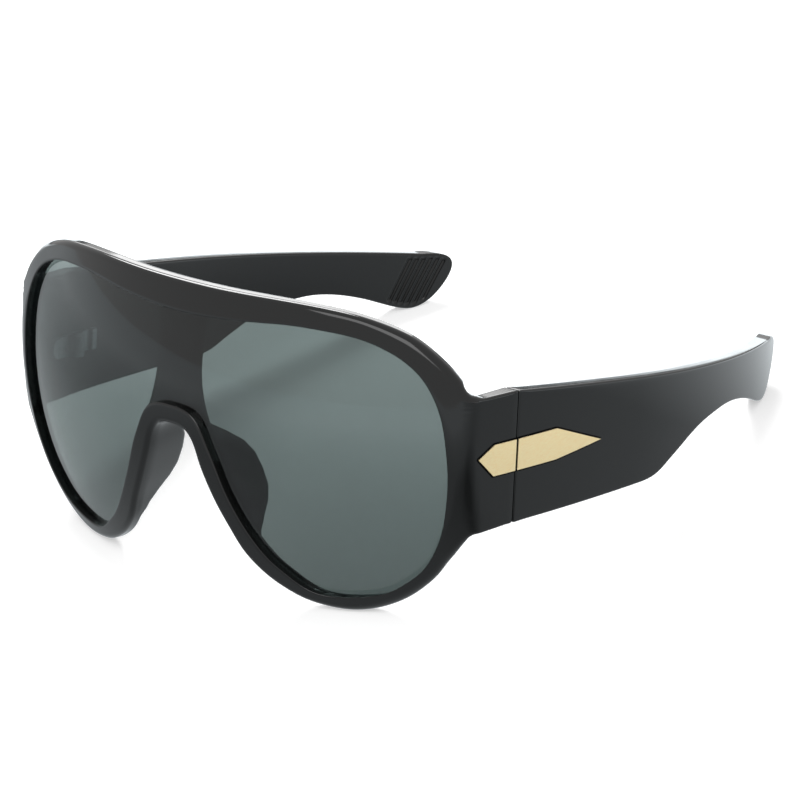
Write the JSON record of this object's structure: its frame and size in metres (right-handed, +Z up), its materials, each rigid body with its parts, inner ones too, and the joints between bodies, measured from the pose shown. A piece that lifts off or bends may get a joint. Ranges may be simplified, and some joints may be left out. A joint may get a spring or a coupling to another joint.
{
  "type": "oversized shield sunglasses",
  "caption": "One-piece tinted shield lens in a glossy full rim with moulded nose pads and wide hinged temples that fold, each side with a plain gold-coloured inlay split at the hinge seam",
  "frame": {"origin": "On the table plane, under the middle of the open sunglasses as they stand on the lower rim and the temple tips", "axes": "+Z up from the table, the front faces -Y, +X toward the wearer's left temple"},
  "size_m": [0.1454, 0.1619, 0.0753],
  "materials": {
    "frame_plastic": "polished black plastic",
    "lens": "polished grey tint",
    "hinge_steel": "plain steel",
    "inlay_brass": "satin pale gold"
  },
  "bodies": {
    "front": {"front_frame": "frame_plastic", "shield_lens": "lens", "left_front_hinge_leaf": "hinge_steel", "right_front_hinge_leaf": "hinge_steel", "left_hinge_screw": "hinge_steel", "right_hinge_screw": "hinge_steel", "left_front_inlay": "inlay_brass", "right_front_inlay": "inlay_brass"},
    "left_temple": {"left_temple": "frame_plastic", "left_temple_hinge_leaf": "hinge_steel", "left_temple_inlay": "inlay_brass"},
    "right_temple": {"right_temple": "frame_plastic", "right_temple_hinge_leaf": "hinge_steel", "right_temple_inlay": "inlay_brass"}
  },
  "joints": [
    {"name": "left_temple_fold", "type": "hinge", "parent": "front", "child": "left_temple", "pos_m": [0.06491, -0.04306, 0.03282], "axis": [0, 0.1985, 0.9801], "range_deg": [0, 87]},
    {"name": "right_temple_fold", "type": "hinge", "parent": "front", "child": "right_temple", "pos_m": [-0.06491, -0.04306, 0.03282], "axis": [0, -0.1985, -0.9801], "range_deg": [0, 78]}
  ]
}
